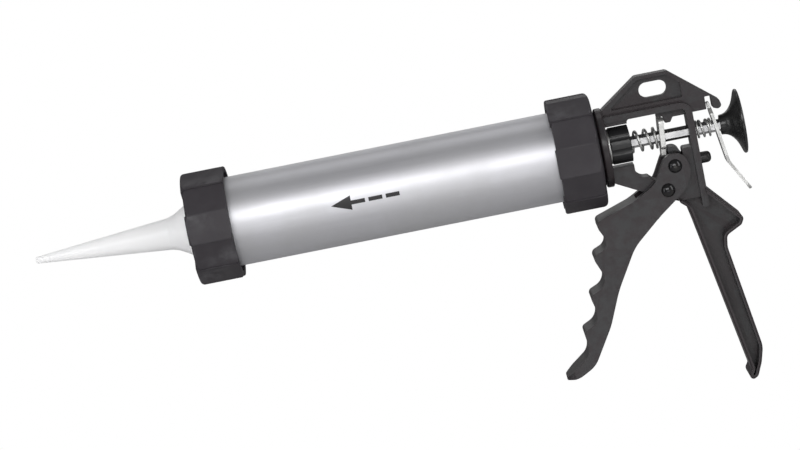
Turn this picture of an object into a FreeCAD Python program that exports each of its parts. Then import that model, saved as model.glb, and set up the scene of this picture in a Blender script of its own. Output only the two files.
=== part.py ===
"""Caulking gun for foil packs: aluminium barrel, two screw caps, cone nozzle, cast frame with handle.

Everything is drawn in millimetres with X = 0 on the front face of the frame's disc, Y = 0 on the
plane of symmetry and Z = 0 on the axis of the barrel and the push rod. The nozzle points to -X.
When a piece is saved, it moves so that the origin is the open end of the nozzle.
"""
import FreeCAD, Part
import math
import os

V = FreeCAD.Vector
X_AXIS = V(1, 0, 0)
Y_AXIS = V(0, 1, 0)

# Clearances
RUN = 0.05            # radial gap of a shaft that turns or slides in its hole
SEAT = 0.02           # gap between pieces that are fixed to each other
CLEAR = 0.35          # gap between pieces that move past each other

# Barrel and caps
BARREL_R = 26.5
BARREL_WALL = 1.2
BARREL_LENGTH = 233.5
CAP_LENGTH = 25.0
CAP_WALL = 6.0        # from the barrel's outside to the flats of a cap
CAP_CORNER = 1.0      # how far the corners of a cap stand out past its flats
CAP_PAD = 0.7         # how far every second flat of a cap stands out
CAP_SIDES = 12
CAP_END = 3.8         # thickness of a cap's end wall
CAP_MOUTH = 3.0       # depth of the wide mouth of a cap
MOUTH_GAP = 3.5       # gap between the barrel and the mouth of a cap

# Nozzle
NOZZLE_CONE = 84.5    # from its tip to the foot of the cone
NOZZLE_TIP_R = 1.9
NOZZLE_FOOT_R = 9.4
NOZZLE_WALL = 0.8
NOZZLE_FLANGE_R = 26.0
NOZZLE_FLANGE = 1.6
NOZZLE_FLARE = 14.0   # length of the flare between the cone and the flange
NOZZLE_FLARE_R = 17.0
ORIFICE_LENGTH = 8.0

# Neck that joins the rear cap to the frame
NECK_R = 8.5
NUT_WALL = 2.5        # from the neck to the lock nut's outside
NUT_LENGTH = 12.0
NUT_FLUTES = 8
WASHER = 1.2

# Push rod and piston
ROD_FLATS = 6.3       # hexagon, across flats
ROD_GAP = 0.5         # free gap round the rod in its guides
PISTON_REST_GAP = 13.0
PISTON_GAP = 0.4
PISTON_LENGTH = 14.0
PISTON_BASE = 4.0
PLATE_DISC_R = 20.0
PLATE_DISC = 2.0
SPIGOT_R = 3.0
PISTON_NUT_FLATS = 10.0
PISTON_NUT = 5.0
PISTON_WASHER_R = 9.0
PISTON_WASHER = 1.5

# Frame casting
DISC_R = 23.5
DISC = 4.5
RIB_HALF = 9.0        # half width of the strap round the window
BLOCK_HALF = 6.5      # half thickness of the web that the trigger straddles
PANEL_HALF = 2.2      # half thickness of the hanging bracket's panel
BRACKET_HALF = 5.0    # half width of the bracket's rim
RIM = 2.0             # thickness of the rims
RIB_LOW = 15.0
RIB_HIGH = 18.6
WALL_FRONT = 52.6
WALL_REAR = 56.6
WALL_FOOT = -44.6     # lower end of the strap, inside the handle's pocket
WEB_FOOT = -38.5
WINDOW_FRONT = 18.0
BRACKET_TOP = 38.1
SLOT_CENTRE = (36.6, 28.9)
SLOT_LENGTH = 16.4
SLOT_WIDTH = 9.0
NOTCH_FRONT = 65.2
NOTCH_REAR = 69.0
NOTCH_TOP = 18.8
RECESS_FLOOR = 21.2   # lower edge of the shallow recess round the hanging slot
RECESS_REAR = 52.6
LUG_END = 10.6        # underside of the rib between the lug and the rear wall

# Handle
HANDLE_HALF = 12.0
HANDLE_WEB_HALF = 2.5
HANDLE_TOP = (46.0, -53.0)
HANDLE_LENGTH = 84.0  # straight run of the handle's front edge
HANDLE_LEAN = 10.6    # degrees back from straight down
HANDLE_THICK = 12.8   # at the top of the straight run
HANDLE_TAPER = 1.8    # how much thinner it gets down to the foot
EDGE = 1.2            # rounding of the casting's outer edges

# Trigger
PIVOT = (34.2, -30.2)
PIVOT_R = 3.0
PAWL_PIN = (40.7, -17.0)
PAWL_PIN_R = 2.5
PAWL_GAP = 0.75       # between the pawl's nose and the drive plate
PAWL_TOP = -6.2
TRIGGER_HALF = 12.0
FORK_HALF = 7.0       # half of the gap between the trigger's cheeks
TRIGGER_WALL = 3.2
TRIGGER_LOW = -130.9
STEP_TOP = (11.5, -35.2)  # upper and lower end of the step between cheek and grip
STEP_LOW = (26.0, -46.6)
STEP = 0.6            # how much narrower the grip is than the cheeks, each side
TRIGGER_TIP = -46.2
TRIGGER_TIP_R = 11.0  # rounding of the tip's two corners, seen from above
RIVET_HEAD_R = 4.1
RIVET_HEAD = 2.3

# Drive plate and springs
DRIVE_X = 36.7        # middle of the drive plate where the rod crosses it
DRIVE_THICK = 3.0
DRIVE_TILT = 4.0      # degrees
DRIVE_HALF = 9.0
DRIVE_TOP = 11.3
DRIVE_STEP = -6.2
DRIVE_FOOT = -11.6
DRIVE_TAIL_HALF = 5.0
MAIN_COIL_GAP = 2.26  # from the rod's corners to the middle of the main spring's wire
MAIN_WIRE_R = 0.75
MAIN_TURNS = 4.8
MAIN_SOCKET = 4.7     # depth of the pocket in the neck that the main spring sits in
REAR_COIL_GAP = 1.21
REAR_WIRE_R = 0.65
REAR_TURNS = 3.5

# Release lever, stop and knob
LEVER_TOP = (66.8, 14.0)
LEVER_THICK = 1.8
LEVER_HALF = 6.6
LEVER_TIP_HALF = 5.0
LEVER_TONGUE_HALF = 3.4  # the narrow top end that hooks into the bracket
LEVER_LEAN = 9.0      # degrees
LEVER_UPPER = 36.0    # length down to the bend
LEVER_FOOT_LEAN = 29.0
LEVER_FOOT = 21.0     # length below the bend
STOP_Z = -16.9
STOP_R = 3.4
STOP_OUT = 6.6
STOP_STEM_R = 1.8
KNOB_X = 71.6
KNOB_LENGTH = 13.1
KNOB_R = 19.1
KNOB_HUB_R = 5.9
KNOB_RIM = 2.0

# Sizes that follow from those above
ROD_R = ROD_FLATS / math.sqrt(3)
ROD_HOLE_R = ROD_R + ROD_GAP
MAIN_COIL_R = ROD_R + MAIN_COIL_GAP
REAR_COIL_R = ROD_R + REAR_COIL_GAP
NUT_R = NECK_R + NUT_WALL
BARREL_BORE_R = BARREL_R - BARREL_WALL
CAP_FLAT_R = BARREL_R + CAP_WALL
HUB_REAR = -CLEAR
REAR_CAP_REAR = HUB_REAR - 0.9
REAR_SEAT = REAR_CAP_REAR - CAP_END
BARREL_REAR = REAR_SEAT - SEAT
BARREL_FRONT = BARREL_REAR - BARREL_LENGTH
FLANGE_FRONT = BARREL_FRONT - SEAT - NOZZLE_FLANGE
FRONT_SEAT = FLANGE_FRONT - SEAT
FRONT_CAP_FRONT = FRONT_SEAT - CAP_END
CONE_FOOT = FRONT_SEAT + 0.5 - NOZZLE_FLARE
TIP = CONE_FOOT - NOZZLE_CONE
NUT_FRONT = DISC + CLEAR + WASHER + SEAT
NUT_REAR = NUT_FRONT + NUT_LENGTH
NECK_REAR = NUT_REAR + 0.3
PISTON_FRONT = BARREL_FRONT + PISTON_REST_GAP
ROD_SHOULDER = PISTON_FRONT + PISTON_LENGTH


def save(name, shape):
    """Write one piece, moved so that the nozzle's open end is the origin."""
    placed = shape.copy()
    placed.translate(V(-TIP, 0, 0))
    placed.exportStep("parts/" + name + ".step")


def rounded(corners, place):
    """Closed wire through corners (a, b) or (a, b, radius), with an arc at each radius."""
    count = len(corners)
    edges = []
    runs = []
    for i in range(count):
        here = place(corners[i][0], corners[i][1])
        back = place(corners[i - 1][0], corners[i - 1][1]) - here
        ahead = place(corners[(i + 1) % count][0], corners[(i + 1) % count][1]) - here
        radius = corners[i][2] if len(corners[i]) > 2 else 0
        if radius == 0:
            runs.append((here, here))
            continue
        half = back.getAngle(ahead) / 2
        reach = radius / math.tan(half)
        back.normalize()
        ahead.normalize()
        middle = back + ahead
        middle.normalize()
        start = here + back * reach
        end = here + ahead * reach
        top = here + middle * (radius / math.sin(half) - radius)
        edges.append(Part.Arc(start, top, end).toShape())
        runs.append((start, end))
    for i in range(count):
        start = runs[i - 1][1]
        end = runs[i][0]
        if (end - start).Length > 1e-6:
            edges.append(Part.LineSegment(start, end).toShape())
    return Part.Wire(Part.__sortEdges__(edges))


def slab(corners, half, middle=0):
    """Solid with its outline in the XZ plane, reaching half to each side of Y = middle."""
    wire = rounded(corners, lambda x, z: V(x, middle - half, z))
    return Part.Face(wire).extrude(V(0, 2 * half, 0))


def turned(corners):
    """Solid of revolution about the barrel's axis, from corners (x, radius)."""
    wire = rounded(corners, lambda x, r: V(x, 0, r))
    return Part.Face(wire).revolve(V(0, 0, 0), X_AXIS, 360)


def rod_along_x(radius, start, end):
    return Part.makeCylinder(radius, end - start, V(start, 0, 0), X_AXIS)


def pin_hole(centre, radius, half):
    return Part.makeCylinder(radius, 2 * half, V(centre[0], -half, centre[1]), Y_AXIS)


def prism(sides, flat_r, start, end, turn):
    """Regular prism along X. turn is the angle of one flat's normal from -Y, in degrees."""
    corner_r = flat_r / math.cos(math.pi / sides)
    points = []
    for i in range(sides + 1):
        angle = math.radians(turn) + (i + 0.5) * 2 * math.pi / sides
        points.append(V(start, -corner_r * math.cos(angle), corner_r * math.sin(angle)))
    return Part.Face(Part.makePolygon(points)).extrude(V(end - start, 0, 0))


# ---------------------------------------------------------------- barrel, caps and nozzle

def cap_outside(start, end, front_round, rear_round, turn):
    """Twelve-sided grip: every second side is a raised pad, and both ends are rounded."""
    corner_r = CAP_FLAT_R + CAP_CORNER
    low = turned([(start, 0), (start, corner_r, front_round), (end, corner_r, rear_round), (end, 0)])
    low = low.common(prism(CAP_SIDES, CAP_FLAT_R, start, end, turn))
    high_r = corner_r + CAP_PAD
    high = turned([(start - CAP_PAD, 0), (start - CAP_PAD, high_r, front_round),
                   (end, high_r, rear_round), (end, 0)])
    high = high.common(prism(CAP_SIDES, CAP_FLAT_R + CAP_PAD, start - CAP_PAD, end, turn))
    half_angle = math.pi / CAP_SIDES
    for i in range(0, CAP_SIDES, 2):
        angle = math.radians(turn) + i * 2 * math.pi / CAP_SIDES
        reach = high_r * 1.2
        side = reach * math.tan(half_angle)
        wedge = Part.makePolygon([V(start - CAP_PAD, 0, 0), V(start - CAP_PAD, -reach, -side),
                                  V(start - CAP_PAD, -reach, side), V(start - CAP_PAD, 0, 0)])
        wedge = Part.Face(wedge).extrude(V(end - start + CAP_PAD, 0, 0))
        wedge.rotate(V(0, 0, 0), X_AXIS, -math.degrees(angle))
        low = low.fuse(high.common(wedge))
    return low.removeSplitter()


def make_barrel_tube():
    return turned([(BARREL_FRONT, BARREL_BORE_R), (BARREL_FRONT, BARREL_R, 0.4),
                   (BARREL_REAR, BARREL_R, 0.4), (BARREL_REAR, BARREL_BORE_R)])


def make_front_cap():
    rear = FRONT_CAP_FRONT + CAP_LENGTH
    body = cap_outside(FRONT_CAP_FRONT, rear, 2.6, 1.4, 7.3)
    thread = rod_along_x(BARREL_R + RUN, FRONT_SEAT, rear)
    mouth = turned([(rear - CAP_MOUTH, 0), (rear - CAP_MOUTH, BARREL_R + RUN),
                    (rear - CAP_MOUTH + 1, BARREL_R + MOUTH_GAP), (rear + 1, BARREL_R + MOUTH_GAP),
                    (rear + 1, 0)])
    front = FRONT_CAP_FRONT - CAP_PAD
    hole = turned([(front, 0), (front, NOZZLE_FLARE_R + 1.5), (FRONT_CAP_FRONT + 1, NOZZLE_FLARE_R + CLEAR),
                   (FRONT_SEAT + 1, NOZZLE_FLARE_R + CLEAR), (FRONT_SEAT + 1, 0)])
    return body.cut(thread).cut(mouth).cut(hole)


def make_rear_cap():
    front = REAR_CAP_REAR - CAP_LENGTH
    body = cap_outside(front, REAR_CAP_REAR, 1.4, 3.0, 0)
    hub = turned([(REAR_CAP_REAR - 1, 0), (REAR_CAP_REAR - 1, DISC_R - 1.4),
                  (HUB_REAR, DISC_R - 1.4, 0.5), (HUB_REAR, 0)])
    neck = turned([(HUB_REAR - 1, 0), (HUB_REAR - 1, NECK_R), (NECK_REAR, NECK_R, 0.8), (NECK_REAR, 0)])
    body = body.fuse([hub, neck])
    thread = rod_along_x(BARREL_R + SEAT, front, REAR_SEAT)
    mouth = turned([(front - 1, 0), (front - 1, BARREL_R + 2.2), (front, BARREL_R + 2.2),
                    (front + 2, BARREL_R + SEAT), (front + 2, 0)])
    bore = rod_along_x(ROD_HOLE_R, REAR_SEAT - 1, NECK_REAR + 1)
    socket = rod_along_x(MAIN_COIL_R + MAIN_WIRE_R + CLEAR, NECK_REAR - MAIN_SOCKET, NECK_REAR + 1)
    return body.cut(thread).cut(mouth).cut(bore).cut(socket).removeSplitter()


def make_nozzle():
    """Thin cone that flares into a flange, which the front cap clamps on the barrel's end."""
    flare_r = NOZZLE_FLARE_R
    flange_rear = FLANGE_FRONT + NOZZLE_FLANGE
    throat_r = NOZZLE_FOOT_R + 1.2
    outside = [(TIP, 0), (TIP, NOZZLE_TIP_R, 0.4), (CONE_FOOT - 4, NOZZLE_FOOT_R, 6), (CONE_FOOT, throat_r),
               (CONE_FOOT + 5, 13.4), (FRONT_SEAT - CAP_END, flare_r - 0.6, 4), (FRONT_SEAT - 0.4, flare_r),
               (FLANGE_FRONT, flare_r), (FLANGE_FRONT, NOZZLE_FLANGE_R),
               (flange_rear, NOZZLE_FLANGE_R), (flange_rear, 0)]
    orifice_r = NOZZLE_TIP_R - NOZZLE_WALL
    inside = [(TIP - 1, 0), (TIP - 1, orifice_r), (TIP + ORIFICE_LENGTH, orifice_r),
              (CONE_FOOT - 4, NOZZLE_FOOT_R - 1.1, 6), (CONE_FOOT + 5, 11.6),
              (FRONT_SEAT - CAP_END + 1, flare_r - 2.2, 3), (flange_rear - 1, flare_r),
              (flange_rear + 1, flare_r + 2), (flange_rear + 1, 0)]
    return turned(outside).cut(turned(inside))


def make_lock_nut():
    nut = turned([(NUT_FRONT, NECK_R + SEAT), (NUT_FRONT, NUT_R, 0.6),
                  (NUT_REAR, NUT_R, 0.6), (NUT_REAR, NECK_R + SEAT)])
    for i in range(NUT_FLUTES):
        angle = (i + 0.35) * 2 * math.pi / NUT_FLUTES
        flute = rod_along_x(3.0, NUT_FRONT - 1, NUT_REAR + 1)
        flute.translate(V(0, (NUT_R + 2.1) * math.cos(angle), (NUT_R + 2.1) * math.sin(angle)))
        nut = nut.cut(flute)
    return nut


def make_lock_washer():
    start = NUT_FRONT - SEAT - WASHER
    return turned([(start, NECK_R + SEAT), (start, NUT_R - 0.6), (start + WASHER, NUT_R - 0.6),
                   (start + WASHER, NECK_R + SEAT)])


# ---------------------------------------------------------------- push rod and piston

def hexagon(flats, start, end):
    return prism(6, flats / 2, start, end, 0)


def make_push_rod():
    rear = KNOB_X + KNOB_LENGTH - 5
    shaft = hexagon(ROD_FLATS, ROD_SHOULDER, KNOB_X + 4)
    tail = rod_along_x(SPIGOT_R, KNOB_X + 4, rear)
    spigot_front = ROD_SHOULDER - PLATE_DISC - PISTON_BASE - PISTON_WASHER - PISTON_NUT - 1.5
    spigot = turned([(spigot_front, 0), (spigot_front, SPIGOT_R - 0.6), (spigot_front + 0.6, SPIGOT_R),
                     (ROD_SHOULDER, SPIGOT_R), (ROD_SHOULDER, 0)])
    return shaft.fuse([tail, spigot]).removeSplitter()


def ring(start, end, outer, inner):
    return turned([(start, inner), (start, outer, 0.2), (end, outer, 0.2), (end, inner)])


def make_piston_plate():
    return ring(ROD_SHOULDER - PLATE_DISC, ROD_SHOULDER - SEAT, PLATE_DISC_R, SPIGOT_R + SEAT)


def make_piston_cup():
    rear = ROD_SHOULDER - PLATE_DISC - SEAT
    front = PISTON_FRONT
    outer = BARREL_BORE_R - PISTON_GAP
    return turned([(rear, SPIGOT_R + SEAT), (rear, outer, 1.0), (front, outer, 0.5),
                   (front, outer - 1.2, 0.5), (rear - PISTON_BASE, outer - 3.0, 2.0),
                   (rear - PISTON_BASE, SPIGOT_R + SEAT)])


def make_piston_washer():
    rear = ROD_SHOULDER - PLATE_DISC - PISTON_BASE - 2 * SEAT
    return ring(rear - PISTON_WASHER, rear, PISTON_WASHER_R, SPIGOT_R + SEAT)


def make_piston_nut():
    rear = ROD_SHOULDER - PLATE_DISC - PISTON_BASE - PISTON_WASHER - 3 * SEAT
    nut = hexagon(PISTON_NUT_FLATS, rear - PISTON_NUT, rear)
    return nut.cut(rod_along_x(SPIGOT_R + SEAT, rear - PISTON_NUT - 1, rear + 1))


# ---------------------------------------------------------------- frame casting with its handle

def handle_point(along, across):
    """Point in XZ, from the start of the handle's front edge: along it, and across to the back."""
    lean = math.radians(HANDLE_LEAN)
    x = HANDLE_TOP[0] + along * math.sin(lean) + across * math.cos(lean)
    z = HANDLE_TOP[1] - along * math.cos(lean) + across * math.sin(lean)
    return x, z


def handle_corner(along, across, radius):
    x, z = handle_point(along, across)
    return (x, z, radius)


def handle_outline():
    """Front edge, rounded foot, back edge, then the thumb spur and the slope up to the rear wall."""
    end = HANDLE_LENGTH
    return [
        (39.0, WEB_FOOT, 1.0),
        (43.8, -42.6, 3.5),
        handle_corner(0, 0, 20),
        handle_corner(end + 9.4, 0, 2.0),
        handle_corner(end + 12.0, -2.4, 2.0),
        handle_corner(end + 16.4, -2.6, 2.0),
        handle_corner(end + 14.8, 2.2, 3),
        handle_corner(end + 7.6, 7.0, 16),
        handle_corner(end - 1, HANDLE_THICK - HANDLE_TAPER, 14),
        handle_corner(20, HANDLE_THICK, 10),
        (WALL_REAR + 6.6, -63.4, 3.5),
        (WALL_REAR + 16.2, -58.6, 2.2),
        (WALL_REAR + 18.2, -54.8, 2.2),
        (WALL_REAR - 0.4, -33.6, 2.0),
        (WALL_FRONT - 3, -33.6),
    ]


def edges_at(shape, half):
    """Edges that lie flat on the planes Y = half and Y = -half."""
    flat = []
    for edge in shape.Edges:
        box = edge.BoundBox
        if box.YLength < 1e-6 and abs(abs(box.YMin) - half) < 1e-6:
            flat.append(edge)
    return flat


def make_frame():
    disc = turned([(0, 0), (0, DISC_R, 1.2), (DISC, DISC_R, 1.0), (DISC, 0)])
    strap = slab([(DISC - 1, RIB_LOW), (DISC - 1, RIB_HIGH), (WALL_REAR, RIB_HIGH, 7.0),
                  (WALL_REAR, WALL_FOOT, 1.2), (WALL_FRONT, WALL_FOOT, 1.2),
                  (WALL_FRONT, RIB_LOW, 3.0)], RIB_HALF)
    outline = [(2.0, 20.4), (27.3, BRACKET_TOP, 3.0), (46.1, BRACKET_TOP, 3.0), (73.4, 15.5, 1.5),
               (74.4, 11.7, 1.8), (72.0, 10.3, 1.8), (NOTCH_REAR, 11.4, 0.8), (NOTCH_REAR, NOTCH_TOP, 0.6),
               (NOTCH_FRONT, NOTCH_TOP, 0.6), (NOTCH_FRONT, 11.3, 0.5), (WALL_FRONT - 1, 11.3),
               (WALL_FRONT - 1, RIB_LOW), (2.0, RIB_LOW)]
    bracket = slab(outline, BRACKET_HALF)
    inside_top = BRACKET_TOP - RIM
    recess = [(8.6, RECESS_FLOOR, 1.0), (28.2, inside_top, 2.0), (45.4, inside_top, 2.0),
              (RECESS_REAR, 29.9, 1.0), (RECESS_REAR, RECESS_FLOOR, 1.0)]
    depth = BRACKET_HALF - PANEL_HALF
    for side in (-1, 1):
        bracket = bracket.cut(slab(recess, depth / 2 + 1, side * (PANEL_HALF + depth / 2 + 1)))
    below = slab([(DISC - 1, RIB_LOW), (DISC - 1, -20.6), (15.4, -26.9), (39.0, WEB_FOOT),
                  (WALL_REAR - 1, WEB_FOOT), (WALL_REAR - 1, -8.3), (WALL_FRONT - 5.8, -8.3, 1.5),
                  (WALL_FRONT - 5.8, -21.0, 3.0), (WALL_FRONT - 9, -23.8, 3.0), (27.7, -23.8, 3.0),
                  (24.6, -20.8, 1.2), (WINDOW_FRONT - 0.4, -20.9, 5.5), (WINDOW_FRONT, 13.8, 1.6),
                  (WINDOW_FRONT + 1.6, RIB_LOW)], BLOCK_HALF)
    stop = drive_rear(DRIVE_TOP) + CLEAR + 0.1
    lug_low = DRIVE_TOP - 3.5
    lug = slab([(stop - 3.8, RIB_LOW + 1), (stop - 3.8, DRIVE_TOP + 0.7), (stop, DRIVE_TOP + 0.7),
                (stop, DRIVE_TOP - 2.0, 0.8), (stop + 0.7, lug_low, 1.0), (stop + 3.8, lug_low, 1.0),
                (stop + 5.6, LUG_END, 0.6), (WALL_FRONT + 1, LUG_END), (WALL_FRONT + 1, RIB_LOW + 1)],
               PANEL_HALF + 1.0)
    handle = slab(handle_outline(), HANDLE_HALF)
    handle = handle.makeFillet(EDGE, edges_at(handle, HANDLE_HALF))
    inner = Part.Face(rounded(handle_outline(), lambda x, z: V(x, 0, z))).makeOffset2D(-RIM)
    depth = HANDLE_HALF - HANDLE_WEB_HALF
    above_rear = WALL_REAR - 0.6
    above = [(40.9, -32.0), (above_rear, -32.0), (above_rear, -44.0), (46.1, -44.0),
             (44.9, -41.6), (40.9, -38.2)]
    above_depth = HANDLE_HALF - BLOCK_HALF + 1
    for side in (-1, 1):
        pocket = inner.extrude(V(0, side * (depth + 1), 0))
        pocket.translate(V(0, side * HANDLE_WEB_HALF, 0))
        handle = handle.cut(pocket)
        handle = handle.cut(slab(above, above_depth / 2, side * (BLOCK_HALF + above_depth / 2)))
    frame = disc.fuse([strap, bracket, below, lug, handle])
    shoulder = RIVET_HEAD_R + 2.2
    frame = frame.fuse(pin_hole(PIVOT, shoulder, BLOCK_HALF))
    nut_bay = Part.makeBox(NUT_REAR - DISC + 3, 2 * BLOCK_HALF + 2, 2 * (NUT_R + 1.4),
                           V(DISC, -BLOCK_HALF - 1, -NUT_R - 1.4))
    slot_r = SLOT_WIDTH / 2
    slot_reach = SLOT_LENGTH / 2
    slot_x, slot_z = SLOT_CENTRE
    corner = slot_r * 0.98
    slot_front = slot_x - slot_reach
    slot_rear = slot_x + slot_reach
    slot = slab([(slot_front, slot_z - slot_r, corner), (slot_front, slot_z + slot_r, corner),
                 (slot_rear, slot_z + slot_r, corner), (slot_rear, slot_z - slot_r, corner)],
                BRACKET_HALF + 1)
    cuts = [
        nut_bay,
        slot,
        rod_along_x(NECK_R + RUN, -1, DISC + 1),
        rod_along_x(ROD_HOLE_R, WALL_FRONT - 2, WALL_REAR + 2),
        pin_hole(PIVOT, PIVOT_R + SEAT, BLOCK_HALF + 1),
        Part.makeCylinder(STOP_STEM_R + SEAT, 10, V(WALL_FRONT - 3, 0, STOP_Z), X_AXIS),
    ]
    for cut in cuts:
        frame = frame.cut(cut)
    return frame.removeSplitter()


def make_lever_stop():
    """Rubber bumper that the release lever stops against, held by a stem in the rear wall."""
    start = WALL_REAR + SEAT
    head = Part.makeCylinder(STOP_R, STOP_OUT - SEAT, V(start, 0, STOP_Z), X_AXIS)
    far = head.Edges[0] if head.Edges[0].CenterOfMass.x > head.Edges[2].CenterOfMass.x else head.Edges[2]
    head = head.makeFillet(1.6, [far])
    stem = Part.makeCylinder(STOP_STEM_R, WALL_REAR - WALL_FRONT, V(WALL_FRONT + 0.5, 0, STOP_Z), X_AXIS)
    return head.fuse(stem).removeSplitter()


# ---------------------------------------------------------------- trigger, pawl and rivets

def trigger_outline():
    """Cheek round the pins, back edge, hooked tip, then the finger grooves up to the front corner."""
    px, pz = PAWL_PIN
    head = 8.4
    return [
        (-10.3, -41.0, 2.5),
        (12.0, -33.6, 30),
        (px - 13.4, pz - 8.4, 16),
        (px - 4.9, pz + 7.3, head * 0.8),
        (px + 6.6, pz + 7.5, head * 0.9),
        (px + 9.0, pz - 5.0, 10),
        (px + 3.4, pz - 15.0, 14),
        (27.6, -44.0, 40),
        (9.0, -59.8, 30),
        (-4.9, -83.2, 60),
        (-13.4, -103.2, 40),
        (-26.6, -125.0, 16),
        (-37.6, -130.9, 14),
        (-44.8, -130.9, 0.7),
        (-44.4, -129.4, 1.0),
        (-27.9, -117.2, 9),
        (-29.9, -104.2, 2.4),
        (-18.6, -98.7, 8.5),
        (-22.4, -83.7, 2.8),
        (-9.7, -78.1, 8),
        (-16.7, -60.9, 3.2),
        (-4.9, -56.1, 6),
        (-10.2, -45.2, 2.6),
    ]


def make_trigger():
    outline = trigger_outline()
    trigger = slab(outline, TRIGGER_HALF)
    wide = TRIGGER_HALF + 0.2
    plan = [(TRIGGER_TIP, -wide, TRIGGER_TIP_R), (60, -wide), (60, wide), (TRIGGER_TIP, wide, TRIGGER_TIP_R)]
    plan = Part.Face(rounded(plan, lambda x, y: V(x, y, TRIGGER_LOW - 10)))
    trigger = trigger.common(plan.extrude(V(0, 0, -TRIGGER_LOW + 10)))
    inner = Part.Face(rounded(outline, lambda x, z: V(x, 0, z))).makeOffset2D(-TRIGGER_WALL)
    channel_half = TRIGGER_HALF - TRIGGER_WALL
    hollow = inner.extrude(V(0, 2 * channel_half, 0))
    hollow.translate(V(0, -channel_half, 0))
    behind = hollow.copy()
    behind.translate(V(7, 0, -6))
    below_fork = slab([(11.5, -33.0), (26.5, -46.5), (34.0, -60.0), (10.0, -140.0), (-60.0, -140.0),
                       (-30.0, -33.0)], TRIGGER_HALF + 1)
    trigger = trigger.cut(hollow.fuse(behind).common(below_fork))
    step = [(STEP_TOP[0], STEP_TOP[1] + 8), STEP_TOP, STEP_LOW, (STEP_LOW[0] + 4, STEP_LOW[1] - 6),
            (STEP_LOW[0], TRIGGER_LOW - 5), (TRIGGER_TIP - 5, TRIGGER_LOW - 5),
            (TRIGGER_TIP - 5, STEP_TOP[1] + 8)]
    for side in (-1, 1):
        trigger = trigger.cut(slab(step, STEP, side * TRIGGER_HALF))
    fork = slab([(12.6, -26.0), (16.0, -35.0), (28.5, -47.0), (60.0, -47.0), (60.0, 0.0), (12.6, 0.0)],
                FORK_HALF)
    trigger = trigger.cut(fork)
    trigger = trigger.cut(pin_hole(PIVOT, PIVOT_R + RUN, TRIGGER_HALF + 1))
    return trigger.cut(pin_hole(PAWL_PIN, PAWL_PIN_R + SEAT, TRIGGER_HALF + 1)).removeSplitter()


def make_rivet(centre, radius, gap):
    """Rivet across the cheeks, with a low dome outside each cheek."""
    shank = pin_hole(centre, radius, TRIGGER_HALF + gap)
    rise = RIVET_HEAD
    ball_r = (RIVET_HEAD_R ** 2 + rise ** 2) / (2 * rise)
    rivet = shank
    for side in (-1, 1):
        face = side * (TRIGGER_HALF + gap)
        middle = V(centre[0], face - side * (ball_r - rise), centre[1])
        start = V(centre[0], face, centre[1])
        head = Part.makeSphere(ball_r, middle)
        head = head.common(Part.makeCylinder(RIVET_HEAD_R + 1, rise + 1, start, V(0, side, 0)))
        rivet = rivet.fuse(head)
    return rivet.removeSplitter()


def make_pawl():
    px, pz = PAWL_PIN
    front = drive_rear(DRIVE_STEP) + PAWL_GAP
    body = slab([(px - 4.2, pz - 1.5, 3.5), (px - 3.0, pz + 2.5, 2.0), (front, DRIVE_FOOT + 1.5, 0.6),
                 (front, PAWL_TOP, 1.6), (px + 4.8, PAWL_TOP, 4.5), (px + 4.8, pz - 1.5, 4.0),
                 (px + 1, pz - 5.2, 4.0), (px - 2.5, pz - 4.8, 2.0)], FORK_HALF - CLEAR)
    return body.cut(pin_hole(PAWL_PIN, PAWL_PIN_R + RUN, FORK_HALF + 1))


# ---------------------------------------------------------------- drive plate and springs

def drive_rear(z):
    """X of the drive plate's rear face at height z."""
    tilt = math.radians(DRIVE_TILT)
    return DRIVE_X + DRIVE_THICK / 2 / math.cos(tilt) + z * math.tan(tilt)


def make_drive_plate():
    corners = [(-DRIVE_HALF, DRIVE_TOP, 2.5), (DRIVE_HALF, DRIVE_TOP, 2.5), (DRIVE_HALF, DRIVE_STEP, 1.5),
               (DRIVE_TAIL_HALF, DRIVE_STEP, 1.0), (DRIVE_TAIL_HALF, DRIVE_FOOT, 1.5),
               (-DRIVE_TAIL_HALF, DRIVE_FOOT, 1.5), (-DRIVE_TAIL_HALF, DRIVE_STEP, 1.0),
               (-DRIVE_HALF, DRIVE_STEP, 1.5)]
    start = DRIVE_X - DRIVE_THICK / 2
    plate = Part.Face(rounded(corners, lambda y, z: V(start, y, z))).extrude(V(DRIVE_THICK, 0, 0))
    plate = plate.cut(rod_along_x(ROD_HOLE_R, start - 1, start + DRIVE_THICK + 1))
    plate.rotate(V(DRIVE_X, 0, 0), Y_AXIS, DRIVE_TILT)
    return plate


def make_spring(start, end, coil_r, wire_r, turns, first_angle):
    """Compression spring with one closed coil at each end."""
    steps_per_turn = 12
    steps = round(turns * steps_per_turn)
    closed = 2.15 * wire_r / steps_per_turn
    open_steps = steps - 2 * steps_per_turn
    reach = end - start - 2 * wire_r
    open_step = (reach - 2 * steps_per_turn * closed) / open_steps
    x = start + wire_r
    points = []
    for i in range(steps + 1):
        angle = math.radians(first_angle) + i * 2 * math.pi / steps_per_turn
        points.append(V(x, coil_r * math.cos(angle), coil_r * math.sin(angle)))
        at_end = i < steps_per_turn or i >= steps - steps_per_turn
        x += closed if at_end else open_step
    curve = Part.BSplineCurve()
    curve.interpolate(points)
    path = Part.Wire(curve.toShape())
    section = Part.Wire(Part.makeCircle(wire_r, points[0], curve.tangent(curve.FirstParameter)[0]))
    return path.makePipeShell([section], True, True)


# ---------------------------------------------------------------- release lever and knob

def lever_path():
    """Middle line of the bent lever in XZ: top, bend and tip."""
    lean = math.radians(LEVER_LEAN)
    foot = math.radians(LEVER_FOOT_LEAN)
    top = V(LEVER_TOP[0], 0, LEVER_TOP[1])
    bend = top + V(math.sin(lean), 0, -math.cos(lean)) * LEVER_UPPER
    tip = bend + V(math.sin(foot), 0, -math.cos(foot)) * LEVER_FOOT
    return top, bend, tip


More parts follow.
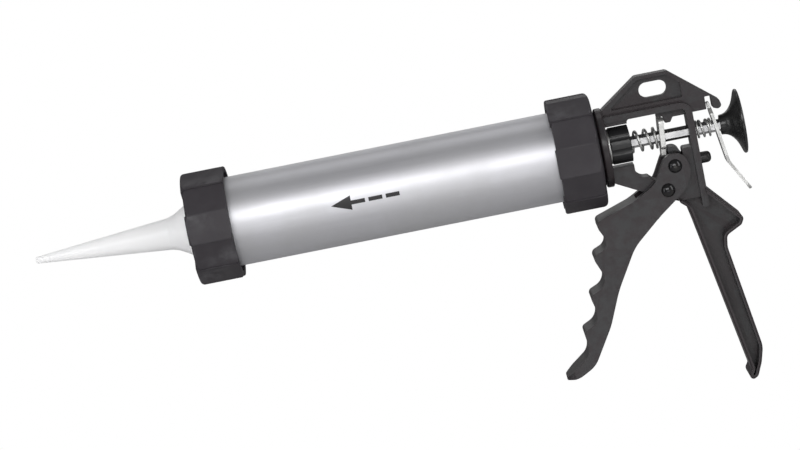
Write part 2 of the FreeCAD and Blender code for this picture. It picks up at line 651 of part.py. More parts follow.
def make_release_lever():
    top, bend, tip = lever_path()
    lean = math.radians(LEVER_LEAN)
    foot = math.radians(LEVER_FOOT_LEAN)
    half = LEVER_THICK / 2
    upper_side = V(math.cos(lean), 0, math.sin(lean)) * half
    foot_side = V(math.cos(foot), 0, math.sin(foot)) * half
    middle_angle = (lean + foot) / 2
    bend_side = V(math.cos(middle_angle), 0, math.sin(middle_angle)) * (half / math.cos((foot - lean) / 2))
    corners = []
    for point, radius in ((top + upper_side, 0), (bend + bend_side, 9), (tip + foot_side, 0.6),
                          (tip - foot_side, 0.6), (bend - bend_side, 7), (top - upper_side, 0)):
        corners.append((point.x, point.z, radius))
    strip = slab(corners, LEVER_HALF)
    strip = strip.fuse(pin_hole(LEVER_TOP, half, LEVER_HALF))
    low = tip.z - 2
    waist = LEVER_TIP_HALF
    tongue = LEVER_TONGUE_HALF
    right = [(tongue, top.z + 3), (tongue, top.z - 2.4, 1.0), (LEVER_HALF, top.z - 5.6, 2.0),
             (LEVER_HALF, bend.z + 4, 10), (waist, bend.z - 6, 10), (waist, tip.z - 1.0, 4.5)]
    left = [(-corner[0],) + corner[1:] for corner in reversed(right)]
    face = right + left
    sheet = Part.Face(rounded(face, lambda y, z: V(top.x - 20, y, z))).extrude(V(60, 0, 0))
    strip = strip.common(sheet)
    corner = ROD_HOLE_R * 0.95
    tall = ROD_HOLE_R + 0.6
    hole = [(-ROD_HOLE_R, tall, corner), (ROD_HOLE_R, tall, corner),
            (ROD_HOLE_R, -tall, corner), (-ROD_HOLE_R, -tall, corner)]
    opening = Part.Face(rounded(hole, lambda y, z: V(top.x - 20, y, z))).extrude(V(40, 0, 0))
    return strip.cut(opening).removeSplitter()


def make_pull_knob():
    rear = KNOB_X + KNOB_LENGTH
    rim = rear - KNOB_RIM
    knob = turned([(KNOB_X, 0), (KNOB_X, KNOB_HUB_R, 0.5), (KNOB_X + 4.5, KNOB_HUB_R + 2.2, 9),
                   (rim - 2.0, 13.4, 9), (rim - 0.2, KNOB_R, 0.9), (rear, KNOB_R, 0.9),
                   (rear, KNOB_R * 0.6), (rear + 0.5, 0)])
    socket = hexagon(ROD_FLATS + 2 * SEAT, KNOB_X - 1, KNOB_X + 4 + SEAT)
    tail = rod_along_x(SPIGOT_R + SEAT, KNOB_X, KNOB_X + KNOB_LENGTH - 5 + SEAT)
    return knob.cut(socket).cut(tail)


# ---------------------------------------------------------------- write every piece

os.makedirs("parts", exist_ok=True)
save("barrel_tube", make_barrel_tube())
save("front_cap", make_front_cap())
save("rear_cap", make_rear_cap())
save("nozzle", make_nozzle())
save("lock_nut", make_lock_nut())
save("lock_washer", make_lock_washer())
save("push_rod", make_push_rod())
save("piston_plate", make_piston_plate())
save("piston_cup", make_piston_cup())
save("piston_washer", make_piston_washer())
save("piston_nut", make_piston_nut())
save("frame_casting", make_frame())
save("lever_stop", make_lever_stop())
save("trigger", make_trigger())
save("trigger_rivet", make_rivet(PIVOT, PIVOT_R, 0.2))
save("pawl_rivet", make_rivet(PAWL_PIN, PAWL_PIN_R, SEAT))
save("pawl", make_pawl())
save("drive_plate", make_drive_plate())
main_end = DRIVE_X - DRIVE_THICK / 2 - (MAIN_COIL_R + MAIN_WIRE_R) * math.tan(math.radians(DRIVE_TILT)) - 0.1
main_start = NECK_REAR - MAIN_SOCKET + SEAT
save("main_spring", make_spring(main_start, main_end, MAIN_COIL_R, MAIN_WIRE_R, MAIN_TURNS, 90))
lever_x = LEVER_TOP[0] + (LEVER_TOP[1] - REAR_COIL_R) * math.tan(math.radians(LEVER_LEAN))
rear_end = lever_x - LEVER_THICK / 2 - 0.6
save("release_spring", make_spring(WALL_REAR + SEAT, rear_end, REAR_COIL_R, REAR_WIRE_R, REAR_TURNS, -4))
save("release_lever", make_release_lever())
save("pull_knob", make_pull_knob())
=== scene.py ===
"""Looks of a caulking gun for foil packs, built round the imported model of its 22 pieces.

Lengths are metres. X runs from the nozzle's open end to the pull knob along the barrel's axis, and Z is up.
"""

import math

import bmesh
import bpy
from mathutils import Matrix, Vector


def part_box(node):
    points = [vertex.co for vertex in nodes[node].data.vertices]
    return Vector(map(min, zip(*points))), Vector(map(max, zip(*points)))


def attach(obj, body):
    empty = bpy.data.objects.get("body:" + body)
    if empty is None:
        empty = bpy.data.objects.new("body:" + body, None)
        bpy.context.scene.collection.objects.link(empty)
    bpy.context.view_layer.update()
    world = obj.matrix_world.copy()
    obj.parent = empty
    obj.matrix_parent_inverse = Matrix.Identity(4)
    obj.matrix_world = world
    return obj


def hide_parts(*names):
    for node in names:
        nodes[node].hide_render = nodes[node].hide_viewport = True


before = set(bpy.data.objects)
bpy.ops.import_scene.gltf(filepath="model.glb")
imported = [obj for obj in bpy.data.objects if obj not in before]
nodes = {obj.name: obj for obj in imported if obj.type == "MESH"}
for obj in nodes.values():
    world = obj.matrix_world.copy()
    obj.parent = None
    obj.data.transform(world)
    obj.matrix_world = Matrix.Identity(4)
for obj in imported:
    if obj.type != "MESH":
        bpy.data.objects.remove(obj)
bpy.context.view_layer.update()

# ------------------------------------------------------------------ barrel tube
# An aluminium tube, drawn along its length, brushed lightly and clear anodised.
# Its ends sit in the threads of the two caps. It is made as one length of tube,
# so its finish has long fine lines along X and hardly any marks across them.


def deselect_all():
    if bpy.context.object is not None and bpy.context.object.mode != "OBJECT":
        bpy.ops.object.mode_set(mode="OBJECT")
    bpy.ops.object.select_all(action="DESELECT")


def new_group(name, inputs, outputs):
    """Empty shader group with float inputs {name: value} and outputs [(name, socket type)]."""
    group = bpy.data.node_groups.new(name, "ShaderNodeTree")
    for label, value in inputs.items():
        socket = group.interface.new_socket(name=label, in_out="INPUT", socket_type="NodeSocketFloat")
        socket.default_value = value
    for label, kind in outputs:
        group.interface.new_socket(name=label, in_out="OUTPUT", socket_type=kind)
    source = group.nodes.new("NodeGroupInput")
    sink = group.nodes.new("NodeGroupOutput")
    return group, source, sink


def object_coordinates(tree):
    return tree.nodes.new("ShaderNodeTexCoord").outputs["Object"]


def math_node(tree, operation, first, second=None):
    node = tree.nodes.new("ShaderNodeMath")
    node.operation = operation
    for socket, value in zip(node.inputs, (first, second)):
        if isinstance(value, (int, float)):
            socket.default_value = value
        elif value is not None:
            tree.links.new(value, socket)
    return node.outputs[0]


def noise_node(tree, coordinates, scale, detail, roughness=0.55):
    node = tree.nodes.new("ShaderNodeTexNoise")
    tree.links.new(coordinates, node.inputs["Vector"])
    if isinstance(scale, (int, float)):
        node.inputs["Scale"].default_value = scale
    else:
        tree.links.new(scale, node.inputs["Scale"])
    node.inputs["Detail"].default_value = detail
    node.inputs["Roughness"].default_value = roughness
    return node.outputs["Fac"]


def remap(tree, value, low, high, out_low=0.0, out_high=1.0):
    node = tree.nodes.new("ShaderNodeMapRange")
    tree.links.new(value, node.inputs["Value"])
    for label, number in (("From Min", low), ("From Max", high), ("To Min", out_low), ("To Max", out_high)):
        if isinstance(number, (int, float)):
            node.inputs[label].default_value = number
        else:
            tree.links.new(number, node.inputs[label])
    return node.outputs["Result"]


# Lines of a drawn or brushed metal, along X
brushed_lines, lines_in, lines_out = new_group(
    "brushed_lines", {"Lines per metre": 3000.0, "Depth": 1.0},
    [("Height", "NodeSocketFloat"), ("Shade", "NodeSocketFloat")])
stretch = brushed_lines.nodes.new("ShaderNodeMapping")
stretch.inputs["Scale"].default_value = (0.012, 1.0, 1.0)
brushed_lines.links.new(object_coordinates(brushed_lines), stretch.inputs["Vector"])
fine = noise_node(brushed_lines, stretch.outputs[0], lines_in.outputs["Lines per metre"], 4.0, 0.7)
coarse_scale = math_node(brushed_lines, "MULTIPLY", lines_in.outputs["Lines per metre"], 0.12)
coarse = noise_node(brushed_lines, stretch.outputs[0], coarse_scale, 3.0)
both = math_node(brushed_lines, "ADD", math_node(brushed_lines, "MULTIPLY", fine, 0.65),
                 math_node(brushed_lines, "MULTIPLY", coarse, 0.35))
brushed_lines.links.new(math_node(brushed_lines, "MULTIPLY", both, lines_in.outputs["Depth"]),
                        lines_out.inputs["Height"])
brushed_lines.links.new(remap(brushed_lines, both, 0.3, 0.7), lines_out.inputs["Shade"])

# Soft uneven patches of handling, oil and haze
handling, handling_in, handling_out = new_group(
    "handling", {"Patches per metre": 40.0, "Spread": 0.5}, [("Mask", "NodeSocketFloat")])
patch_noise = noise_node(handling, object_coordinates(handling),
                         handling_in.outputs["Patches per metre"], 5.0, 0.6)
top = math_node(handling, "ADD", handling_in.outputs["Spread"], 0.25)
handling.links.new(remap(handling, patch_noise, handling_in.outputs["Spread"], top),
                   handling_out.inputs["Mask"])


def new_material(name, colour, metallic, roughness):
    """Principled material; returns (material, tree, shader)."""
    material = bpy.data.materials.new(name)
    material.use_nodes = True
    tree = material.node_tree
    shader = tree.nodes["Principled BSDF"]
    shader.inputs["Base Color"].default_value = (*colour, 1.0)
    shader.inputs["Metallic"].default_value = metallic
    shader.inputs["Roughness"].default_value = roughness
    material.diffuse_color = (*colour, 1.0)
    return material, tree, shader


def place_group(tree, group, **values):
    node = tree.nodes.new("ShaderNodeGroup")
    node.node_tree = group
    for label, value in values.items():
        node.inputs[label.replace("_", " ")].default_value = value
    return node


def mix_colours(tree, mask, first, second):
    node = tree.nodes.new("ShaderNodeMix")
    node.data_type = "RGBA"
    tree.links.new(mask, node.inputs["Factor"])
    for socket, value in ((node.inputs[6], first), (node.inputs[7], second)):
        if isinstance(value, tuple):
            socket.default_value = (*value, 1.0)
        else:
            tree.links.new(value, socket)
    return node.outputs[2]


def add_bump(tree, shader, height, distance, strength=1.0):
    bump = tree.nodes.new("ShaderNodeBump")
    bump.inputs["Distance"].default_value = distance
    bump.inputs["Strength"].default_value = strength
    tree.links.new(height, bump.inputs["Height"])
    tree.links.new(bump.outputs["Normal"], shader.inputs["Normal"])


def give_material(piece, material):
    piece.data.materials.clear()
    piece.data.materials.append(material)


ALUMINIUM = (0.62, 0.625, 0.64)
aluminium, tree, shader = new_material("satin_aluminium", ALUMINIUM, 0.85, 0.46)
lines = place_group(tree, brushed_lines, Lines_per_metre=2600.0, Depth=1.0)
haze = place_group(tree, handling, Patches_per_metre=26.0, Spread=0.42)
light_metal = mix_colours(tree, lines.outputs["Shade"], (0.60, 0.60, 0.63), (0.66, 0.66, 0.69))
bare = mix_colours(tree, haze.outputs["Mask"], light_metal, (0.60, 0.60, 0.62))

# A plain dashed arrow towards the nozzle, screen printed in black on one side
ARROW_TIP = 0.178
ARROW_NECK = 0.190
ARROW_END = 0.2205
ARROW_Z = 0.0012
ARROW_SLOPE = 0.36
SHAFT_HALF = 0.0012
DASH = 0.0102
DASH_SHARE = 0.8             # the printed part of each dash and its gap
place = tree.nodes.new("ShaderNodeSeparateXYZ")
tree.links.new(object_coordinates(tree), place.inputs[0])
off_line = math_node(tree, "ABSOLUTE", math_node(tree, "SUBTRACT", place.outputs["Z"], ARROW_Z))
head_half = math_node(tree, "MULTIPLY", math_node(
    tree, "SUBTRACT", place.outputs["X"], ARROW_TIP), ARROW_SLOPE)
in_head = math_node(tree, "MULTIPLY", math_node(tree, "LESS_THAN", off_line, head_half),
                    math_node(tree, "LESS_THAN", place.outputs["X"], ARROW_NECK))
along_shaft = math_node(tree, "MULTIPLY", math_node(tree, "GREATER_THAN", place.outputs["X"], ARROW_NECK),
                        math_node(tree, "LESS_THAN", place.outputs["X"], ARROW_END))
in_dash = math_node(tree, "FRACT", math_node(tree, "DIVIDE", math_node(
    tree, "SUBTRACT", place.outputs["X"], ARROW_NECK), DASH))
along_shaft = math_node(tree, "MULTIPLY", along_shaft, math_node(tree, "LESS_THAN", in_dash, DASH_SHARE))
in_shaft = math_node(tree, "MULTIPLY", along_shaft, math_node(tree, "LESS_THAN", off_line, SHAFT_HALF))
printed = math_node(tree, "MULTIPLY", math_node(tree, "MAXIMUM", in_head, in_shaft),
                    math_node(tree, "LESS_THAN", place.outputs["Y"], 0.0))
tree.links.new(mix_colours(tree, printed, bare, (0.012, 0.011, 0.012)), shader.inputs["Base Color"])
tree.links.new(remap(tree, printed, 0.0, 1.0, 0.85, 0.0), shader.inputs["Metallic"])
rough_lines = remap(tree, lines.outputs["Shade"], 0.0, 1.0, 0.42, 0.52)
rough = math_node(tree, "ADD", rough_lines, math_node(tree, "MULTIPLY", haze.outputs["Mask"], 0.05))
tree.links.new(rough, shader.inputs["Roughness"])
add_bump(tree, shader, lines.outputs["Height"], 0.00002, 0.35)


ALONG_Y = Vector((0.0, 1.0, 0.0))


def select_edges(piece, wanted):
    """Select in edit mode the edges for which wanted(edge, face angle in degrees) is true."""
    bpy.ops.mesh.select_all(action="DESELECT")
    mesh = bmesh.from_edit_mesh(piece.data)
    for edge in mesh.edges:
        if len(edge.link_faces) == 2 and wanted(edge, math.degrees(edge.calc_face_angle(0.0))):
            edge.select_set(True)
    bmesh.update_edit_mesh(piece.data)


def worked_copy(node, body, bevel, angle=30.0, segments=2, arcs=None, shape=None):
    """Copy of a model piece with its edges broken by a small radius, as the real piece's are.

    arcs is the direction that the piece's rounded walls run in; the edges along it get more steps.
    shape is called in edit mode for what only this piece needs.
    """
    deselect_all()
    piece = nodes[node].copy()
    piece.data = nodes[node].data.copy()
    piece.name = node + "_finished"
    piece.parent = None
    for key in list(piece.keys()):
        del piece[key]
    bpy.context.scene.collection.objects.link(piece)
    bpy.context.view_layer.objects.active = piece
    piece.select_set(True)
    if piece.data.has_custom_normals:
        bpy.ops.mesh.customdata_custom_splitnormals_clear()
    bpy.ops.object.mode_set(mode="EDIT")
    bpy.ops.mesh.select_all(action="SELECT")
    bpy.ops.mesh.remove_doubles(threshold=0.000002)
    bpy.ops.mesh.dissolve_limited(angle_limit=math.radians(0.2))
    bpy.ops.mesh.select_all(action="SELECT")
    bpy.ops.mesh.normals_make_consistent(inside=False)
    if shape is not None:
        shape(piece)
    if arcs is not None:
        select_edges(piece, lambda edge, turn: 2.0 < turn < 38.0 and abs(
            (edge.verts[1].co - edge.verts[0].co).normalized().dot(arcs)) > 0.999)
        bpy.ops.mesh.bevel(offset_type="PERCENT", offset_pct=48.0, segments=3, affect="EDGES",
                           clamp_overlap=True)
    bpy.ops.object.mode_set(mode="OBJECT")
    if bevel > 0:
        modifier = piece.modifiers.new("edge_radius", "BEVEL")
        modifier.width = bevel
        modifier.segments = segments
        modifier.limit_method = "ANGLE"
        modifier.angle_limit = math.radians(angle)
        modifier.harden_normals = False
        bpy.ops.object.modifier_apply(modifier=modifier.name)
    bpy.ops.object.shade_smooth_by_angle(angle=math.radians(angle))
    flat_faces = piece.modifiers.new("flat_faces", "WEIGHTED_NORMAL")
    flat_faces.mode = "FACE_AREA"
    flat_faces.weight = 80
    flat_faces.keep_sharp = True
    bpy.ops.object.modifier_apply(modifier=flat_faces.name)
    deselect_all()
    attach(piece, body)
    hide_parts(node)
    return piece


barrel = worked_copy("barrel_tube", "barrel", 0.0002)
give_material(barrel, aluminium)

# ------------------------------------------------------------------ screw caps
# Two glass-filled nylon caps, injection moulded, with twelve grip faces of which
# every second one is raised. The rear one is one piece with the threaded neck
# that the frame turns on. Both screw onto rolled threads at the barrel's ends.

# Fine sparkle of a spark-eroded mould
mould_grain, grain_in, grain_out = new_group(
    "mould_grain", {"Grains per metre": 2400.0},
    [("Height", "NodeSocketFloat"), ("Shade", "NodeSocketFloat")])
pits = grain_in.outputs["Grains per metre"]
grain_noise = noise_node(mould_grain, object_coordinates(mould_grain), pits, 3.0, 0.6)
flow_scale = math_node(mould_grain, "MULTIPLY", pits, 0.03)
flow_noise = noise_node(mould_grain, object_coordinates(mould_grain), flow_scale, 2.0)
mould_grain.links.new(grain_noise, grain_out.inputs["Height"])
mould_grain.links.new(remap(mould_grain, flow_noise, 0.35, 0.65), grain_out.inputs["Shade"])

# Light rubbed edges, from how convex the surface is
rubbed_edges, rubbed_in, rubbed_out = new_group(
    "rubbed_edges", {"Start": 0.52, "End": 0.6, "Breakup per metre": 160.0}, [("Mask", "NodeSocketFloat")])
pointed = rubbed_edges.nodes.new("ShaderNodeNewGeometry").outputs["Pointiness"]
edge = remap(rubbed_edges, pointed, rubbed_in.outputs["Start"], rubbed_in.outputs["End"])
broken = noise_node(rubbed_edges, object_coordinates(rubbed_edges),
                    rubbed_in.outputs["Breakup per metre"], 4.0)
rubbed_edges.links.new(math_node(rubbed_edges, "MULTIPLY", edge, remap(rubbed_edges, broken, 0.35, 0.6)),
                       rubbed_out.inputs["Mask"])


def moulded_material(name, dark, light, roughness, grains, depth, worn):
    """Moulded or coated surface: two close tones, grain, handling haze and rubbed edges."""
    material, tree, shader = new_material(name, dark, 0.0, roughness)
    grain = place_group(tree, mould_grain, Grains_per_metre=grains)
    haze = place_group(tree, handling, Patches_per_metre=45.0, Spread=0.45)
    rubbed = place_group(tree, rubbed_edges)
    tone = mix_colours(tree, grain.outputs["Shade"], dark, light)
    tree.links.new(mix_colours(tree, rubbed.outputs["Mask"], tone, worn), shader.inputs["Base Color"])
    uneven = math_node(tree, "MULTIPLY", haze.outputs["Mask"], 0.07)
    base = remap(tree, grain.outputs["Height"], 0.3, 0.7, roughness - 0.03, roughness + 0.03)
    tree.links.new(math_node(tree, "ADD", base, uneven), shader.inputs["Roughness"])
    add_bump(tree, shader, grain.outputs["Height"], depth, 0.5)
    return material, shader


cap_plastic, shader = moulded_material("charcoal_nylon", (0.036, 0.032, 0.037), (0.042, 0.038, 0.043), 0.52,
                                       2600.0, 0.00006, (0.075, 0.072, 0.078))
shader.inputs["Specular IOR Level"].default_value = 0.3
for node, body in (("front_cap", "front_cap"), ("rear_cap", "barrel")):
    cap = worked_copy(node, body, 0.0006, 22.0, 3)
    give_material(cap, cap_plastic)

# ------------------------------------------------------------------ nozzle
# A thin cone of natural polyethylene, blown milky by its own thickness, that the
# user cuts to the width of the bead. Its flange is clamped by the front cap.
# Its faint glow is painted light: an emission that stands in for light passing through the plastic.
milky, tree, shader = new_material("milky_polyethylene_painted_glow", (0.86, 0.86, 0.85), 0.0, 0.36)
grain = place_group(tree, mould_grain, Grains_per_metre=900.0)
tree.links.new(mix_colours(tree, grain.outputs["Shade"], (0.9, 0.9, 0.9), (0.94, 0.94, 0.935)),
               shader.inputs["Base Color"])
tree.links.new(remap(tree, grain.outputs["Height"], 0.3, 0.7, 0.32, 0.4), shader.inputs["Roughness"])
shader.inputs["Subsurface Weight"].default_value = 0.5
# Painted glow: a weak white emission that stands in for light passing through the plastic; the nozzle is no
# lamp
shader.inputs["Emission Color"].default_value = (0.97, 0.97, 1.0, 1.0)
shader.inputs["Emission Strength"].default_value = 0.1
shader.inputs["Subsurface Radius"].default_value = (1.0, 1.0, 0.95)
shader.inputs["Subsurface Scale"].default_value = 0.006
add_bump(tree, shader, grain.outputs["Height"], 0.00004, 0.3)
nozzle = worked_copy("nozzle", "nozzle", 0.00015, 30.0)
give_material(nozzle, milky)

# ------------------------------------------------------------------ push rod, piston and drive plate
# Zinc-plated steel: a hexagonal drawn rod, pressed washers and a sheared plate
# whose hole bites on the rod when the trigger tilts it. The plating is bright,
# a little blue, and dulled where hands and the plate rub it.
zinc, tree, shader = new_material("bright_zinc_steel", (0.66, 0.66, 0.67), 1.0, 0.27)
lines = place_group(tree, brushed_lines, Lines_per_metre=5200.0, Depth=1.0)
haze = place_group(tree, handling, Patches_per_metre=150.0, Spread=0.42)
plated = mix_colours(tree, lines.outputs["Shade"], (0.60, 0.60, 0.615), (0.72, 0.715, 0.71))
tree.links.new(mix_colours(tree, haze.outputs["Mask"], plated, (0.52, 0.52, 0.53)),
               shader.inputs["Base Color"])
tree.links.new(remap(tree, haze.outputs["Mask"], 0.0, 1.0, 0.3, 0.42), shader.inputs["Roughness"])
add_bump(tree, shader, lines.outputs["Height"], 0.00002, 0.12)

# The pressed pieces are tumbled after plating, so they are smoother and greyer than the drawn rod
tumbled, tree, shader = new_material("tumbled_zinc_steel", (0.62, 0.62, 0.61), 0.85, 0.34)
haze = place_group(tree, handling, Patches_per_metre=90.0, Spread=0.4)
grain = place_group(tree, mould_grain, Grains_per_metre=1500.0)
tree.links.new(mix_colours(tree, haze.outputs["Mask"], (0.66, 0.66, 0.65), (0.54, 0.54, 0.53)),
               shader.inputs["Base Color"])
tree.links.new(remap(tree, haze.outputs["Mask"], 0.0, 1.0, 0.34, 0.46), shader.inputs["Roughness"])
add_bump(tree, shader, grain.outputs["Height"], 0.00001, 0.3)
steel_pieces = {
    "push_rod": ("rod", 0.0004, 20.0, zinc, None),
    "piston_plate": ("rod", 0.0, 30.0, tumbled, None),
    "piston_washer": ("rod", 0.0, 30.0, tumbled, None),
    "piston_nut": ("rod", 0.0004, 30.0, tumbled, None),
    "lock_washer": ("barrel", 0.0002, 30.0, tumbled, None),
    "drive_plate": ("drive_plate", 0.0005, 30.0, tumbled, None),
    "release_lever": ("release_lever", 0.0005, 30.0, tumbled, ALONG_Y),
}
for node, (body, bevel, angle, finish, arcs) in steel_pieces.items():
    piece = worked_copy(node, body, bevel, angle, 3, arcs)
    give_material(piece, finish)

# ------------------------------------------------------------------ springs
# Two compression springs of round plated wire, with closed ends. They are the
# model's own and keep their rest length, so the moving plate and the release
# lever pass through their coils at the ends of their travel.
for node in ("main_spring", "release_spring"):
    give_material(nodes[node], tumbled)

# ------------------------------------------------------------------ piston cup
# A soft polyethylene cup on the rod's end that wipes the barrel and pushes the pack.
# It is hidden in the barrel, so its shape is the model's, unchanged.
piston_plastic, shader = moulded_material("grey_polyethylene", (0.30, 0.30, 0.31), (0.34, 0.34, 0.35), 0.45,
                                          1200.0, 0.00005, (0.4, 0.4, 0.41))
cup = worked_copy("piston_cup", "rod", 0.0, 30.0)
give_material(cup, piston_plastic)

# ------------------------------------------------------------------ frame and handle
# One zinc die casting: disc, strap round the window, hanging bracket and handle,
# tumbled so that its edges are soft, then powder coated satin black.
black_coat, coat_shader = moulded_material("satin_black_coat", (0.026, 0.0205, 0.0228),
                                           (0.031, 0.0245, 0.0268), 0.32, 1300.0, 0.00007,
                                           (0.035, 0.034, 0.036))
coat_shader.inputs["Specular IOR Level"].default_value = 0.32
coat_shader.inputs["Coat Weight"].default_value = 0.05
coat_shader.inputs["Coat Roughness"].default_value = 0.22
casting = worked_copy("frame_casting", "frame", 0.0007, 28.0, 3, ALONG_Y)
give_material(casting, black_coat)

# ------------------------------------------------------------------ trigger
# A second die casting with the same coat: two cheeks round the frame's web and a
# channel-shaped grip with finger grooves, closed on the fingers' side.
FINGER_EDGE = 0.0016         # radius of the edges that the fingers pull on
BACK_EDGE_TOP = (0.3658, -0.044)
BACK_EDGE_SLOPE = 0.669
GRIP_WIDTH = 0.012
GRIP_TOP_END = 0.3462
GRIP_LOW = -0.1265


def round_finger_edges(piece):
    """The front and top edges of the grip, on both cheeks, get a wide radius."""
    half = max(vertex.co.y for vertex in piece.data.vertices)

    def on_front(edge, turn):
        if turn < 40.0 or min(abs(vertex.co.y) for vertex in edge.verts) < half - 0.0009:
            return False
        if abs(edge.verts[0].co.y - edge.verts[1].co.y) > 0.0001:
            return False
        middle = (edge.verts[0].co + edge.verts[1].co) / 2
        if middle.z > BACK_EDGE_TOP[1]:
            return middle.x < GRIP_TOP_END
        back = BACK_EDGE_TOP[0] + (middle.z - BACK_EDGE_TOP[1]) * BACK_EDGE_SLOPE
        return middle.x < back - GRIP_WIDTH and middle.z > GRIP_LOW

    select_edges(piece, on_front)
    bpy.ops.mesh.bevel(offset=FINGER_EDGE, segments=4, profile=0.4, affect="EDGES", clamp_overlap=True)


trigger = worked_copy("trigger", "trigger", 0.0004, 28.0, 2, ALONG_Y, round_finger_edges)
give_material(trigger, black_coat)

# ------------------------------------------------------------------ rivets and pawl
# Blackened steel: two shouldered rivets with low domes, and the pawl between the
# cheeks that pushes the drive plate.
black_steel, tree, shader = new_material("blackened_steel", (0.03, 0.03, 0.032), 0.75, 0.22)
haze = place_group(tree, handling, Patches_per_metre=220.0, Spread=0.45)
tree.links.new(mix_colours(tree, haze.outputs["Mask"], (0.028, 0.028, 0.03), (0.05, 0.048, 0.046)),
               shader.inputs["Base Color"])
tree.links.new(remap(tree, haze.outputs["Mask"], 0.0, 1.0, 0.18, 0.32), shader.inputs["Roughness"])


def turned_piece(name, axis, start, profile, steps=64):
    """Piece turned about axis through start; profile lists (distance along the axis, radius)."""
    deselect_all()
    first, radius = profile[0]
    middle = Vector(start) + axis * first
    bpy.ops.mesh.primitive_circle_add(vertices=steps, radius=radius, fill_type="NOTHING", location=middle,
                                      rotation=axis.to_track_quat("Z", "X").to_euler())
    piece = bpy.context.object
    piece.name = name
    bpy.ops.object.mode_set(mode="EDIT")
    bpy.ops.mesh.select_all(action="SELECT")
    bpy.ops.mesh.edge_face_add()
    for (before, old_radius), (after, new_radius) in zip(profile, profile[1:]):
        bpy.ops.mesh.extrude_region_move(TRANSFORM_OT_translate={"value": axis * (after - before)})
        middle = Vector(start) + axis * after
        scale = new_radius / old_radius
        bpy.ops.transform.resize(value=(scale, scale, scale), center_override=middle)
    bpy.ops.mesh.select_all(action="SELECT")
    bpy.ops.mesh.normals_make_consistent(inside=False)
    bpy.ops.object.mode_set(mode="OBJECT")
    bpy.ops.object.transform_apply(location=True, rotation=True, scale=True)
    bpy.ops.object.shade_smooth_by_angle(angle=math.radians(35.0))
    deselect_all()
    return piece


RIVET_HEAD_R = 0.0041
RIVET_RISE = 0.0023
BALL_R = (RIVET_HEAD_R ** 2 + RIVET_RISE ** 2) / (2 * RIVET_RISE)
for node, body, shank_r in (("trigger_rivet", "frame", 0.003), ("pawl_rivet", "trigger", 0.0025)):
    low, high = (Vector(corner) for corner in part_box(node))
    middle = (low + high) / 2
    reach = (high.y - low.y) / 2
    dome = []
    for i in range(10):
        angle = math.radians(2.0) + i / 9 * (math.asin(RIVET_HEAD_R / BALL_R) - math.radians(2.0))
        dome.append((BALL_R * (1 - math.cos(angle)), BALL_R * math.sin(angle)))
    near = [(-reach + rise, radius) for rise, radius in dome]
    far = [(reach - rise, radius) for rise, radius in reversed(dome)]
    shank = [(-reach + RIVET_RISE, shank_r), (reach - RIVET_RISE, shank_r)]
    rivet = turned_piece(node + "_finished", ALONG_Y, middle, near + shank + far)
    give_material(rivet, black_steel)
    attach(rivet, body)
    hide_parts(node)
pawl = worked_copy("pawl", "pawl", 0.0003, 35.0, 2, ALONG_Y)
give_material(pawl, black_steel)

# ------------------------------------------------------------------ lock nut
# A moulded nut with finger flutes that holds the frame on the rear cap's neck.
# The flutes are the model's, and only their edges are broken here.
nut_plastic, shader = moulded_material("black_acetal", (0.013, 0.013, 0.014), (0.017, 0.017, 0.018), 0.36,
                                       1800.0, 0.00004, (0.03, 0.03, 0.031))
lock_nut = worked_copy("lock_nut", "barrel", 0.0004, 28.0)
give_material(lock_nut, nut_plastic)

# ------------------------------------------------------------------ lever stop
# A black rubber bumper, pulled by its stem into a hole of the frame's rear wall.
# It is turned again here, with a rounder head than the model's.
rubber, shader = moulded_material("black_rubber", (0.012, 0.012, 0.012), (0.016, 0.016, 0.016), 0.3,
                                  1500.0, 0.00003, (0.02, 0.02, 0.02))
STOP_R = 0.0034
STOP_OUT = 0.0066            # how far the head stands out of the wall
low, high = (Vector(corner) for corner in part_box("lever_stop"))
seat = Vector((high.x - STOP_OUT, 0.0, (low.z + high.z) / 2))
bumper = [(-0.0035, 0.0018), (0.0, 0.0018), (0.00002, STOP_R - 0.0002), (0.0002, STOP_R), (0.0038, STOP_R),
          (0.0048, 0.00328), (0.0057, 0.0028), (0.0063, 0.002), (0.00655, 0.001), (STOP_OUT, 0.0001)]
stop = turned_piece("lever_stop_finished", Vector((1.0, 0.0, 0.0)), seat, bumper, 48)
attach(stop, "frame")
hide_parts("lever_stop")
give_material(stop, rubber)

# ------------------------------------------------------------------ pull knob
# A trumpet-shaped knob of glossy black plastic, moulded over the rod's end.
# It is turned again here, as one smooth curve.
gloss, shader = moulded_material("gloss_black_plastic", (0.012, 0.012, 0.0125), (0.015, 0.015, 0.0155), 0.26,
                                 1800.0, 0.00001, (0.014, 0.014, 0.014))
low, high = (Vector(corner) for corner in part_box("pull_knob"))
trumpet = [(0.0, 0.0042), (0.00001, 0.0054), (0.00015, 0.00575), (0.0005, 0.0059), (0.002, 0.00605),
           (0.0035, 0.0065), (0.005, 0.0074), (0.0065, 0.0088), (0.008, 0.0108), (0.0092, 0.0132),
           (0.0101, 0.0156), (0.0107, 0.0174), (0.0111, 0.0184), (0.0115, 0.01895), (0.012, 0.0191),
           (0.0125, 0.019), (0.0129, 0.0187), (0.0131, 0.018), (0.0132, 0.012), (0.01335, 0.008),
           (0.0135, 0.004), (0.01355, 0.0003)]
knob = turned_piece("pull_knob_finished", Vector((1.0, 0.0, 0.0)), (low.x, 0.0, 0.0), trumpet, 96)
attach(knob, "rod")
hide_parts("pull_knob")
give_material(knob, gloss)

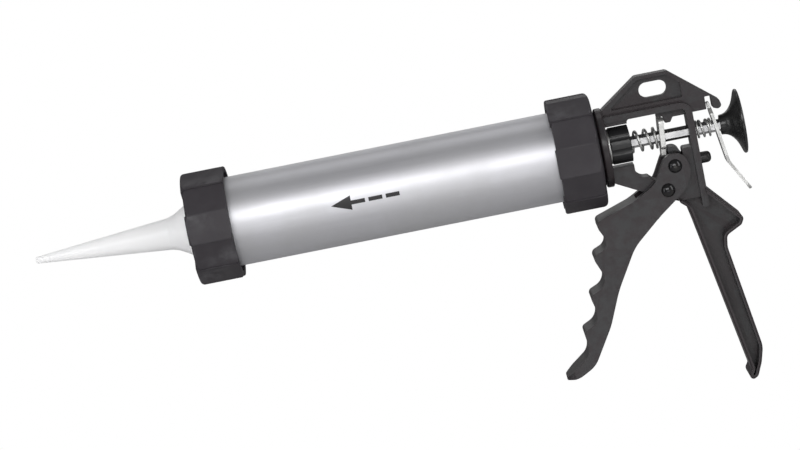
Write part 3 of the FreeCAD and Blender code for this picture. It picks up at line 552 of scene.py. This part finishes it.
# ------------------------------------------------------------------ studio
# A pale sweep far below the tool, a large overhead softbox, a strip from the
# left and a low fill, with a white room round them.
bpy.ops.mesh.primitive_plane_add(size=60.0, location=(0.2, 0.0, -0.6))
floor = bpy.context.object
floor.name = "studio_floor"
white, tree, shader = new_material("studio_white", (0.6, 0.6, 0.6), 0.0, 0.9)
seen = tree.nodes.new("ShaderNodeLightPath")
glow = tree.nodes.new("ShaderNodeEmission")
choose = tree.nodes.new("ShaderNodeMixShader")
tree.links.new(seen.outputs["Is Camera Ray"], choose.inputs[0])
tree.links.new(shader.outputs[0], choose.inputs[1])
tree.links.new(glow.outputs[0], choose.inputs[2])
tree.links.new(choose.outputs[0], tree.nodes["Material Output"].inputs["Surface"])
give_material(floor, white)

world = bpy.data.worlds.new("studio_room")
bpy.context.scene.world = world
world.use_nodes = True
room = world.node_tree
backdrop = room.nodes["Background"]
backdrop.inputs["Color"].default_value = (1.0, 1.0, 1.0, 1.0)
backdrop.inputs["Strength"].default_value = 1.0
walls = room.nodes.new("ShaderNodeBackground")
height = room.nodes.new("ShaderNodeSeparateXYZ")
room.links.new(room.nodes.new("ShaderNodeTexCoord").outputs["Generated"], height.inputs[0])
shade = remap(room, height.outputs["Z"], -0.6, 0.7, 0.14, 0.22)
room.links.new(shade, walls.inputs["Strength"])
seen = room.nodes.new("ShaderNodeLightPath")
choose = room.nodes.new("ShaderNodeMixShader")
room.links.new(seen.outputs["Is Camera Ray"], choose.inputs[0])
room.links.new(walls.outputs[0], choose.inputs[1])
room.links.new(backdrop.outputs[0], choose.inputs[2])
room.links.new(choose.outputs[0], room.nodes["World Output"].inputs["Surface"])


def softbox(name, place, aim, width, height, watts):
    deselect_all()
    light = bpy.data.lights.new(name, "AREA")
    light.shape = "RECTANGLE"
    light.size = width
    light.size_y = height
    light.energy = watts
    lamp = bpy.data.objects.new(name, light)
    bpy.context.scene.collection.objects.link(lamp)
    lamp.location = place
    lamp.rotation_euler = (Vector(aim) - Vector(place)).to_track_quat("-Z", "Y").to_euler()


middle = (0.22, 0.0, -0.03)
softbox("front_box", (-0.1, -1.9, 0.75), middle, 1.5, 0.6, 20.0)
softbox("front_fill", (0.3, -1.9, -0.5), middle, 1.6, 0.5, 6.0)
softbox("left_strip", (-1.1, -0.8, 0.3), middle, 0.35, 1.3, 5.0)
softbox("right_strip", (1.4, -0.6, 0.4), middle, 0.35, 1.2, 6.0)
softbox("overhead_box", (0.2, 0.5, 1.2), middle, 1.4, 0.35, 2.0)
softbox("back_fill", (0.2, 1.8, 0.8), middle, 1.5, 0.7, 3.0)

# ------------------------------------------------------------------ camera
# A long lens level with the barrel's upper half, rolled so that the nozzle points
# down to the left.
REAR_FACE = 0.33821          # X of the frame disc's front face
ELEVATION = math.radians(9.0)
YAW = math.radians(1.6)
ROLL = math.radians(11.459)
DISTANCE = 1.75
LENS = 133.72                # millimetres
target = Vector((REAR_FACE - 0.12382, 0.0, -0.02143))
ahead = Vector((-math.sin(YAW) * math.cos(ELEVATION), math.cos(YAW) * math.cos(ELEVATION),
                -math.sin(ELEVATION)))
level_right = Vector((math.cos(YAW), math.sin(YAW), 0.0))
level_up = level_right.cross(ahead)
right = level_right * math.cos(ROLL) - level_up * math.sin(ROLL)
up = level_up * math.cos(ROLL) + level_right * math.sin(ROLL)
camera = bpy.data.objects.new("camera", bpy.data.cameras.new("camera"))
bpy.context.scene.collection.objects.link(camera)
camera.data.lens = LENS
camera.data.clip_end = 200.0
turn = Matrix((right, up, -ahead)).transposed().to_4x4()
camera.matrix_world = Matrix.Translation(target - ahead * DISTANCE) @ turn
bpy.context.scene.camera = camera
bpy.context.scene.view_settings.view_transform = "Standard"
